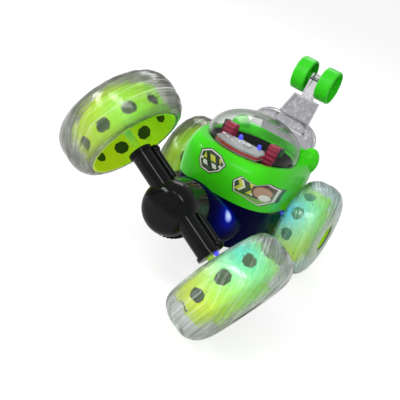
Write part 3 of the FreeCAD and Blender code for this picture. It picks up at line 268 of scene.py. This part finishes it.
def lime(name, centre, glow_at, glow_radius, glow_colour, strength):
    """The hubs' translucent lime plastic, with a painted glow round a point by the wheel's lamp, a faint
    painted glow over all of it, and one side painted lighter and yellower.
    """
    s = Shader(name)
    # One side painted lighter and yellower, the other darker and greener: painted light and shade, broken
    # up by random patches.
    painted_lit_lime, painted_shaded_lime = (0.56, 0.66, 0.012), (0.22, 0.62, 0.012)
    patches = s.spread(s.noise(26, 2), 0.3, 0.7, -0.25, 0.25)
    turn = s.math("ADD", s.along(centre, SUNNY_SIDE, -0.045, 0.045), patches)
    base = s.mix(turn, painted_lit_lime, painted_shaded_lime)
    # Painted glow round a point by the wheel's lamp.
    glow = s.near(glow_at, glow_radius, 1.5)
    s.set("Base Color", s.mix(glow, base, glow_colour))
    s.set("Roughness", s.spread(s.noise(70, 3), 0.3, 0.7, 0.2, 0.34))
    s.set("Specular IOR Level", 0.35)
    s.set("Subsurface Weight", 0.15)
    s.set("Subsurface Radius", (0.003, 0.004, 0.001))
    s.set("Subsurface Scale", 1.0)
    # Emission: the painted glow, never below a faint level over the whole hub.
    s.set("Emission Color", s.mix(glow, base, glow_colour))
    s.set("Emission Strength", s.spread(glow, 0.0, 1.0, 0.28, strength))
    s.bump(s.noise(600, 2), 0.06, 0.0002)
    return s.material


def deep_blue(name):
    """The tub's dark translucent blue, with a painted glow and painted sparks round the headlamps, a faint
    painted glow over all of it, and a painted teal reflection low at the rear.
    """
    s = Shader(name)
    spots = [on_car(-54.7, 33.9, 7.2), on_car(-54.7, -33.9, 7.2)]
    # Painted glow and painted sparks round the two headlamps.
    halo = s.math("ADD", *(s.near(spot, 0.026, 2.0) for spot in spots))
    spark = s.math("ADD", *(s.near(spot, 0.0065, 1.0) for spot in spots))
    # Painted teal reflection of the green wheel, low at the rear.
    rear = s.math("MULTIPLY", s.along(on_car(-110, 0, 0), -FORWARD, 0.0, 0.05),
                  s.along(on_car(0, 0, -20), UPWARD, 0.0, 0.03))
    deep = s.mix(s.spread(s.noise(30, 3), 0.3, 0.7), (0.0015, 0.0015, 0.016), (0.003, 0.003, 0.03))
    s.set("Base Color", s.mix(rear, deep, (0.01, 0.09, 0.06)))
    s.set("Roughness", s.spread(s.noise(80, 3), 0.3, 0.7, 0.06, 0.12))
    s.set("Specular IOR Level", 0.01)
    # Emission: the painted glow, faint over the whole tub, with the painted sparks whiter.
    shine = s.mix(halo, (0.0, 0.001, 0.02), (0.002, 0.01, 0.55))
    s.set("Emission Color", s.mix(spark, shine, (0.55, 0.72, 1.0)))
    s.set("Emission Strength", s.spread(s.math("ADD", halo, spark), 0.0, 1.0, 0.25, 1.2))
    s.bump(s.noise(800, 2), 0.05, 0.0001)
    return s.material


def metal(name, colour, roughness):
    s = Shader(name, Metallic=1.0)
    s.set("Base Color", s.mix(s.noise(200, 3), tuple(c * 0.85 for c in colour), colour))
    brushed = s.noise(400, 3, stretch=(1, 8, 1))
    s.set("Roughness", s.spread(brushed, 0.3, 0.7, roughness * 0.7, roughness * 1.3))
    return s.material


def lamp(name, colour, strength):
    s = Shader(name, Roughness=0.1)
    dark, light = tuple(0.3 * c for c in colour), tuple(0.5 * c for c in colour)
    s.set("Base Color", s.mix(s.noise(500, 1), dark, light))
    s.set("Emission Color", s.mix(s.facing(0.3), tuple(0.06 + 0.94 * c for c in colour), colour))
    s.set("Emission Strength", strength)
    return s.material


def printed():
    s = Shader("badge_print", Roughness=0.3)
    ink = s.node("ShaderNodeAttribute", attribute_name="ink").outputs["Color"]
    s.set("Base Color", s.mix(s.spread(s.noise(300, 2), 0.4, 0.6, 0.0, 0.12), ink, (0.3, 0.3, 0.3)))
    s.set("Coat Weight", 0.4)
    return s.material


def board_green():
    s = Shader("solder_resist", Roughness=0.35)
    lines = s.spread(s.noise(180, 1, stretch=(1, 6, 1)), 0.52, 0.56)
    s.set("Base Color", s.mix(lines, (0.01, 0.12, 0.03), (0.05, 0.26, 0.06)))
    return s.material


# White of the tail's painted sparkle highlights.
FLECK = (0.88, 0.88, 0.90)
SWIRL = 0.5                  # turns that a streak winds round the tyre from one side to the other
# Colours of the tyres' painted shade streaks and painted highlight streaks.
STREAK_SHADE, STREAK_HIGHLIGHT = (0.12, 0.13, 0.11), (0.97, 0.98, 0.97)
# The four tyres are one clear vinyl; their differing centre and edge greys and rim powers are painted light
# and shade, the right tyres painted much darker at the edges and the rear right one darker in the middle
# too.
CLEAR_TYRES = {(end, side): clear_wall(f"{end}_{side}_vinyl", centre, edge, 0.02, 1.33, painted_streaks=True,
                                       rim_power=power)
               for end, side, centre, edge, power in (
                   ("front", "left", (0.95, 0.97, 0.97), (0.44, 0.50, 0.49), 1.0),
                   ("front", "right", (0.92, 0.94, 0.88), (0.05, 0.055, 0.035), 0.95),
                   ("rear", "left", (0.90, 0.98, 0.98), (0.32, 0.46, 0.44), 1.0),
                   ("rear", "right", (0.62, 0.70, 0.42), (0.06, 0.09, 0.03), 0.8))}
CLEAR_DOME = clear_wall("clear_dome", (0.89, 0.92, 0.89), (0.05, 0.07, 0.05), 0.01, 1.2, rim_power=2.6)
CLEAR_TAIL = clear_wall("clear_tail", (0.60, 0.60, 0.62), (0.26, 0.26, 0.28), 0.16, 1.25, speckle=0.9)
SHELL_GREEN = moulded_gloss("shell_green", (0.06, 0.74, 0.012), 0.2, 0.06, specular=0.14)
WHEEL_GREEN = moulded_gloss("roller_green", (0.04, 0.66, 0.015), 0.3, 0.06, specular=0.25)
GLOSS_BLACK = moulded_gloss("gloss_black", (0.006, 0.006, 0.007), 0.11, 0.2, specular=0.14)
BAND_GREY = moulded_gloss("band_grey", (0.003, 0.003, 0.009), 0.14, 0.2, specular=0.05)
SEAT_RED = moulded_gloss("seat_red", (0.30, 0.007, 0.042), 0.2, 0.15, specular=0.35)
TRIM_RED = moulded_gloss("trim_red", (0.42, 0.02, 0.03), 0.25, 0.1)
SILVER = moulded_gloss("silver_plastic", (0.30, 0.29, 0.32), 0.2, 0.1)
DARK_BAND = moulded_gloss("dark_window_band", (0.035, 0.075, 0.02), 0.2, 0.3, specular=0.3)
# A lighter, greener copy of the dark window band for the rear left wheel: painted light.
PAINTED_LIT_BAND = moulded_gloss("painted_lit_window_band", (0.06, 0.28, 0.14), 0.2, 0.3, specular=0.3)
NYLON = moulded_gloss("white_nylon", (0.80, 0.80, 0.76), 0.5, 0.04)
STEEL = metal("steel", (0.62, 0.62, 0.64), 0.25)
BRASS = metal("brass", (0.78, 0.58, 0.24), 0.3)
CELL_WRAP = metal("cell_wrap", (0.75, 0.55, 0.18), 0.35)
BLUE_LAMP = lamp("blue_lamp", (0.03, 0.04, 1.0), 1.0)
WHITE_LAMP = lamp("white_lamp", (0.35, 0.45, 1.0), 2.0)
DEEP_BLUE = deep_blue("deep_blue")
INK = printed()


# Colours, places and strengths of the hubs' painted glow: emission laid into the lime plastic round each
# wheel's lamp.
CYAN, TEAL, MINT = (0.03, 0.42, 0.70), (0.03, 0.52, 0.46), (0.05, 0.62, 0.30)
WHEEL_GLOWS = {          # place in the wheel's frame, reach, colour and strength
    ("front", "left"): ((0.025, -0.02, 0.04), 0.058, TEAL, 0.6),
    ("front", "right"): ((0.0, 0.0, 0.0), 0.03, MINT, 0.1),
    ("rear", "left"): ((0.04, -0.02, 0.015), 0.055, CYAN, 0.8),
    ("rear", "right"): ((0.0, 0.0, 0.0), 0.03, MINT, 0.1)}


def give(material, *nodes):
    for node in nodes:
        for slot in frame["nodes"][node].material_slots:
            slot.material = material


def dress_nodes():
    give(DEEP_BLUE, "chassis_tub")
    give(SHELL_GREEN, "body_shell")
    give(CLEAR_DOME, "cockpit_dome")
    give(CLEAR_TAIL, "tail_arm")
    give(GLOSS_BLACK, "drum_housing", "drum_cap", "front_arm_left", "front_arm_right", "cockpit_tray",
         "seat_panels", "battery_box", "battery_door", "charging_socket", "switch_housing", "switch_knob",
         "speaker")
    give(BAND_GREY, "drum_band")
    give(SEAT_RED, "seats")
    give(TRIM_RED, "dashboard_trim")
    give(SILVER, "dashboard")
    give(NYLON, "twist_bush", "rear_gearboxes", "front_plate", "front_gear", "rear_gear_left",
         "rear_gear_right")
    give(STEEL, "door_screws", "body_screws", "tail_pin", "rear_motors", "front_motor", "twist_clip",
         "front_axle", "front_pinion", "rear_axle_left", "rear_axle_right", "rear_pinion_left",
         "rear_pinion_right")
    give(BRASS, "battery_contacts")
    give(CELL_WRAP, "battery_cells")
    give(board_green(), "circuit_board")
    give(BLUE_LAMP, "cockpit_leds", "front_wheel_leds", "rear_wheel_leds")
    give(WHITE_LAMP, "headlights")
    give(WHEEL_GREEN, "tail_wheel_left", "tail_wheel_right")
    for (end, side), (offset, radius, colour, strength) in WHEEL_GLOWS.items():
        wheel = wheel_frame(end, side)
        plastic = lime(f"{end}_{side}_lime", wheel.translation, wheel @ Vector(offset), radius, colour,
                       strength)
        cap = f"rear_hub_cap_{side}" if end == "rear" else "front_hub_caps"
        give(plastic, f"{end}_hub_{side}", cap)


# ---------------------------------------------------------------- mesh helpers

def add_piece(name, mesh, material, body, smooth=True):
    piece = bpy.data.objects.new(name, mesh)
    bpy.context.scene.collection.objects.link(piece)
    piece.data.materials.append(material)
    if smooth:
        for face in piece.data.polygons:
            face.use_smooth = True
    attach(piece, body)
    return piece


def paint(mesh, name, colours):
    """A colour for each point, kept as an attribute that a material reads."""
    attribute = mesh.color_attributes.new(name, "FLOAT_COLOR", "POINT")
    for item, colour in zip(attribute.data, colours):
        item.color = colour


def grid_mesh(name, rows, close_rows=True, close_columns=True):
    """A mesh from rows of points, each joined to the next."""
    count = len(rows[0])
    points = [point for row in rows for point in row]
    faces = []
    for i in range(len(rows) if close_rows else len(rows) - 1):
        for j in range(count if close_columns else count - 1):
            a, b = i, (i + 1) % len(rows)
            c, d = j, (j + 1) % count
            faces.append((a * count + c, a * count + d, b * count + d, b * count + c))
    mesh = bpy.data.meshes.new(name)
    mesh.from_pydata(points, [], faces)
    mesh.update()
    return mesh


# ---------------------------------------------------------------- tyres

TYRE_WALL = 1.6 * MM
TYRE_ROUNDNESS = 2.6
WHEELS = {"front": {"radius": 55.0 * MM, "width": 47.0 * MM, "rim": 41.6 * MM, "flat": 27.0 * MM,
                    "opening": 15.0 * MM, "barrel": 35.5 * MM},
          "rear": {"radius": 50.6 * MM, "width": 41.6 * MM, "rim": 38.4 * MM, "flat": 25.0 * MM,
                   "opening": 14.0 * MM, "barrel": 31.5 * MM}}
HUB_WALL = 1.8 * MM
LINING = 0.4 * MM
LINING_SETBACK = 19.5 * MM   # from the disc's face to the lining's middle
LINING_REACH = 6.5 * MM
LINING_TURNS = 96
TYRE_TURNS = 384
TYRE_STEPS = 40
SIDE_STEPS = 4
GROOVES = 12
GROOVE_DEPTH = 0.5 * MM
WRINKLE_DEPTH = 1.1 * MM
WRINKLE_FINENESS = 3.6
SHOULDERS, SHOULDER_WIDTH = (0.2, 0.8), 0.13       # shares of the way across the tread


def tyre_section(wheel, inset, share):
    """Radius and place across the tyre: share is 0 where the flat side ends and 1 at the inner rim."""
    angle = math.pi * share
    base = wheel["flat"] if share < 0.5 else wheel["rim"]
    top = wheel["radius"] - inset
    across = math.copysign(abs(math.cos(angle)) ** (2 / TYRE_ROUNDNESS), math.cos(angle))
    rise = math.sin(angle) ** (2 / TYRE_ROUNDNESS) if 0 < share < 1 else 0.0
    return base + (top - base) * rise, across * (wheel["width"] / 2 - inset)


def tyre_relief(turn, share, seed):
    """How far the tread lies below the smooth form: winding grooves, and wrinkles on the shoulders."""
    wave = abs(2 * ((GROOVES * (turn / math.tau - SWIRL * share)) % 1.0) - 1)
    groove = max(0.0, 2.0 * wave - 1.0)
    middle = math.sin(math.pi * share)
    place = Vector((math.cos(turn) * 3, math.sin(turn) * 3, share * 7 + seed))
    lumps = noise.fractal(place * WRINKLE_FINENESS, 0.8, 2.0, 3)
    shoulder = sum(math.exp(-((share - centre) / SHOULDER_WIDTH) ** 2) for centre in SHOULDERS)
    return GROOVE_DEPTH * groove * middle ** 0.5 + WRINKLE_DEPTH * shoulder * (0.5 + 0.5 * lumps)


def tyre_rings(wheel, inset):
    """The places across one face of the wall, from the outer side's opening to the inner rim."""
    side = wheel["width"] / 2 - inset
    flat = [(wheel["opening"] + (wheel["flat"] - wheel["opening"]) * j / SIDE_STEPS, side, 0.0)
            for j in range(SIDE_STEPS)]
    return flat + [(*tyre_section(wheel, inset, j / TYRE_STEPS), j / TYRE_STEPS)
                   for j in range(TYRE_STEPS + 1)]


def tyre_mesh(wheel, seed):
    """One closed wall: the outer face with its relief, and a smooth inner face."""
    outer, inner = tyre_rings(wheel, 0.0), tyre_rings(wheel, TYRE_WALL)[::-1]
    rows, tread = [], []
    for i in range(TYRE_TURNS):
        turn = math.tau * i / TYRE_TURNS
        row = []
        for radius, across, share in outer:
            edge = min(1.0, 8 * min(share, 1 - share))
            radius -= edge * tyre_relief(turn, share, seed)
            row.append((radius * math.cos(turn), across, radius * math.sin(turn)))
            tread.append((math.cos(turn), math.sin(turn), share, 1))
        for radius, across, share in inner:
            row.append((radius * math.cos(turn), across, radius * math.sin(turn)))
            tread.append((math.cos(turn), math.sin(turn), share, 1))
        rows.append(row)
    mesh = grid_mesh("tyre", rows)
    paint(mesh, "tread", tread)
    return mesh


def window_lining(wheel):
    """A thin dark band in the middle of the barrel's wall, seen only through its windows, which it darkens.
    """
    middle = wheel["barrel"] - wheel["width"] / 2 - LINING_SETBACK
    outer = wheel["rim"] - HUB_WALL / 3
    corners = [(outer - LINING, middle - LINING_REACH), (outer, middle - LINING_REACH),
               (outer, middle + LINING_REACH), (outer - LINING, middle + LINING_REACH)]
    rows = []
    for i in range(LINING_TURNS):
        turn = math.tau * i / LINING_TURNS
        rows.append([(radius * math.cos(turn), across, radius * math.sin(turn))
                     for radius, across in corners])
    return grid_mesh("lining", rows)


def build_tyres():
    for seed, (end, side) in enumerate((e, s) for e in ("front", "rear") for s in ("left", "right")):
        mesh = tyre_mesh(WHEELS[end], 5.3 * seed)
        mesh.transform(wheel_frame(end, side))
        body = "front_wheels" if end == "front" else f"rear_wheel_{side}"
        piece = add_piece(f"{end}_tyre_{side}_vinyl", mesh, CLEAR_TYRES[end, side], body)
        recalculate(piece)
        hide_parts(f"{end}_tyre_{side}")
        lining = window_lining(WHEELS[end])
        lining.transform(wheel_frame(end, side))
        # The rear left wheel's band is the painted lit copy.
        window_band = PAINTED_LIT_BAND if (end, side) == ("rear", "left") else DARK_BAND
        recalculate(add_piece(f"{end}_hub_{side}_lining", lining, window_band, body, smooth=False))


def recalculate(piece):
    work = bmesh.new()
    work.from_mesh(piece.data)
    bmesh.ops.recalc_face_normals(work, faces=work.faces)
    work.to_mesh(piece.data)
    work.free()


# ---------------------------------------------------------------- printed badges

BLACK, WHITE = (0.006, 0.008, 0.006), (0.85, 0.86, 0.80)
BOTTLE, LEAF, YELLOW = (0.01, 0.05, 0.012), (0.16, 0.42, 0.03), (0.62, 0.66, 0.04)
TAN, BROWN = (0.52, 0.30, 0.17), (0.06, 0.025, 0.012)
BADGE_RINGS = 44
BADGE_TURNS = 176
BADGE_RISE = 0.2 * MM
BADGE_DRAW_IN = 0.97         # where the shell curves out of reach of the outline


def striped_print(u, v, edge):
    """A white line round a dark field with slanting bars and a dot at each end."""
    if edge > 0.92 or 0.80 < edge < 0.84:
        return BLACK
    if edge > 0.84:
        return WHITE
    if math.hypot((abs(u) - 0.66) * 1.3, v + 0.05) < 0.11:
        return WHITE
    bar = (1.5 * u + 0.9 * v) % 1.0
    if abs(v - 0.28) < 0.22 and abs(u) < 0.6:
        return YELLOW if bar < 0.55 else BLACK
    if abs(v + 0.26) < 0.17 and abs(u) < 0.5:
        return WHITE if bar < 0.5 else BLACK
    return BOTTLE if abs(v) < 0.62 else BLACK


DISCS = ((0.55, -0.25, 0.20, WHITE), (0.42, 0.12, 0.34, TAN), (0.48, 0.22, 0.50, BROWN))


def ringed_print(u, v, edge):
    """Chevrons on a dark field beside plain overlapping discs."""
    if edge > 0.94:
        return BLACK
    if edge > 0.88:
        return WHITE
    for x, y, size, colour in DISCS:
        if math.hypot(u - x, (v - y) * 0.75) < size:
            return colour
    chevron = (1.7 * (u + 0.5 * abs(v - 0.1))) % 1.0
    if abs(v - 0.1) < 0.42 and u < 0.2:
        return YELLOW if chevron < 0.34 else WHITE if chevron < 0.52 else BOTTLE
    return LEAF if v < -0.45 else BOTTLE


BADGES = {"left_badge": {"y": 36.0, "z": 33.0, "width": 36.0, "height": 24.0, "print": ringed_print,
                         "outline": [(-1.0, 0.2), (-0.7, 0.75), (0.1, 0.55), (0.55, 1.0), (1.0, 0.7),
                                     (0.95, -0.4), (0.5, -1.0), (-0.2, -0.7), (-0.8, -0.6)]},
          "right_badge": {"y": -8.0, "z": 40.0, "width": 30.0, "height": 22.0, "print": striped_print,
                          "outline": [(-1.0, 0.5), (-0.45, 0.95), (0.4, 0.8), (1.0, 0.3), (0.8, -0.45),
                                      (0.2, -1.0), (-0.5, -0.9), (-0.85, -0.3)]}}


def outline_reach(outline, turn):
    """How far the outline lies from its middle in one direction."""
    ray = Vector((math.cos(turn), math.sin(turn)))
    for start, end in zip(outline, outline[1:] + outline[:1]):
        side = Vector(end) - Vector(start)
        across = ray.cross(side)
        if abs(across) < 1e-9:
            continue
        reach = Vector(start).cross(side) / across
        share = Vector(start).cross(ray) / across
        if reach > 0 and -1e-6 <= share <= 1 + 1e-6:
            return reach
    return 0.0


def build_badges():
    shell = frame["nodes"]["body_shell"].data
    tree = BVHTree.FromPolygons([v.co for v in shell.vertices], [p.vertices for p in shell.polygons])
    for name, badge in BADGES.items():

        def on_shell(u, v):
            return tree.ray_cast(on_car(0, badge["y"] + u * badge["width"] / 2,
                                        badge["z"] + v * badge["height"] / 2), -FORWARD)

        rows, ink = [], []
        for i in range(BADGE_TURNS):
            turn = math.tau * i / BADGE_TURNS
            reach = outline_reach(badge["outline"], turn)
            while on_shell(reach * math.cos(turn), reach * math.sin(turn))[0] is None:
                reach *= BADGE_DRAW_IN
            row = []
            for j in range(1, BADGE_RINGS + 2):
                edge = min(1.0, j / BADGE_RINGS)
                u, v = edge * reach * math.cos(turn), edge * reach * math.sin(turn)
                hit, normal, _, _ = on_shell(u, v)
                row.append(hit + normal * (BADGE_RISE if j <= BADGE_RINGS else 0.0))
                ink.append((*badge["print"](u, v, edge), 1))
            rows.append(row)
        mesh = grid_mesh(name, rows, close_columns=False)
        paint(mesh, "ink", ink)
        piece = add_piece(name, mesh, INK, "chassis")
        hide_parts("badges")


# ---------------------------------------------------------------- stage

CAMERA_AZIMUTH = 110.843
CAMERA_ELEVATION = 24.480
CAMERA_ROLL = 22.224
CAMERA_DISTANCE = 0.70455
CAMERA_TARGET = Vector((0.0205, -0.01098, 0.06349))
CAMERA_LENS = 66.676


def build_camera():
    azimuth, elevation, roll = (math.radians(a) for a in (CAMERA_AZIMUTH, CAMERA_ELEVATION, CAMERA_ROLL))
    back = Vector((math.sin(azimuth) * math.cos(elevation), -math.cos(azimuth) * math.cos(elevation),
                   math.sin(elevation)))
    right = Vector((math.cos(azimuth), math.sin(azimuth), 0))
    up = back.cross(right)
    turned_right = right * math.cos(roll) + up * math.sin(roll)
    turned_up = up * math.cos(roll) - right * math.sin(roll)
    data = bpy.data.cameras.new("camera")
    data.lens = CAMERA_LENS
    data.clip_start, data.clip_end = 0.01, 50
    camera = bpy.data.objects.new("camera", data)
    camera.matrix_world = basis(turned_right, turned_up, back, CAMERA_TARGET + back * CAMERA_DISTANCE)
    bpy.context.scene.collection.objects.link(camera)
    bpy.context.scene.camera = camera


def area_lamp(name, place, aim, size, power):
    data = bpy.data.lights.new(name, "AREA")
    data.shape = "RECTANGLE"
    data.size, data.size_y = size
    data.energy = power
    lamp_object = bpy.data.objects.new(name, data)
    lamp_object.location = place
    lamp_object.rotation_euler = (aim - place).to_track_quat("-Z", "Y").to_euler()
    bpy.context.scene.collection.objects.link(lamp_object)


FLOOR_REACH = 12.0
FLOOR_LIT = 0.86             # grey that throws light back on the car
FLOOR_SEEN = 0.34            # grey that takes the shadows where the floor is looked at
FLOOR_SEEN_GLOW = 0.76       # lifts that grey to white
WORLD_LIT, WORLD_SEEN = 0.5, 1.0


def build_floor():
    mesh = bpy.data.meshes.new("floor")
    low = cad_box[0].z
    corners = [(x * FLOOR_REACH, y * FLOOR_REACH, low) for x, y in ((-1, -1), (1, -1), (1, 1), (-1, 1))]
    mesh.from_pydata(corners, [], [(0, 1, 2, 3)])
    floor = bpy.data.objects.new("floor", mesh)
    bpy.context.scene.collection.objects.link(floor)
    s = Shader("floor", Roughness=0.9)
    s.set("Specular IOR Level", 0.0)
    path = s.node("ShaderNodeLightPath")
    seen = s.math("MAXIMUM", path.outputs["Is Camera Ray"], path.outputs["Is Transmission Ray"])
    s.set("Base Color", s.mix(seen, (FLOOR_LIT,) * 3, (FLOOR_SEEN,) * 3))
    s.set("Emission Color", (1.0, 1.0, 1.0))
    s.set("Emission Strength", s.math("MULTIPLY", seen, FLOOR_SEEN_GLOW))
    mesh.materials.append(s.material)


def build_world():
    world = bpy.data.worlds.new("studio")
    world.use_nodes = True
    tree = world.node_tree
    background = tree.nodes["Background"]
    background.inputs["Color"].default_value = (1, 1, 1, 1)
    path = tree.nodes.new("ShaderNodeLightPath")
    seen = tree.nodes.new("ShaderNodeMath")
    seen.operation = "MAXIMUM"
    tree.links.new(path.outputs["Is Camera Ray"], seen.inputs[0])
    tree.links.new(path.outputs["Is Transmission Ray"], seen.inputs[1])
    level = tree.nodes.new("ShaderNodeMapRange")
    level.inputs["To Min"].default_value = WORLD_LIT
    level.inputs["To Max"].default_value = WORLD_SEEN
    tree.links.new(seen.outputs[0], level.inputs["Value"])
    tree.links.new(level.outputs[0], background.inputs["Strength"])
    bpy.context.scene.world = world


STRIP, SQUARE = (0.9, 0.16), (0.5, 0.5)
LAMPS = (("key", (0.75, 0.15, 1.1), STRIP, 5.5), ("side", (0.6, -0.8, 0.7), STRIP, 7.0),
         ("back", (-0.9, -0.5, 0.9), SQUARE, 3.0))


def build_lights():
    middle = Vector((0, 0, 0.09))
    for name, place, size, power in LAMPS:
        area_lamp(name, Vector(place), middle, size, power)


# ---------------------------------------------------------------- all


dress_nodes()
build_tyres()
build_badges()
build_camera()
build_floor()
build_world()
build_lights()
bpy.context.scene.view_settings.view_transform = "Standard"
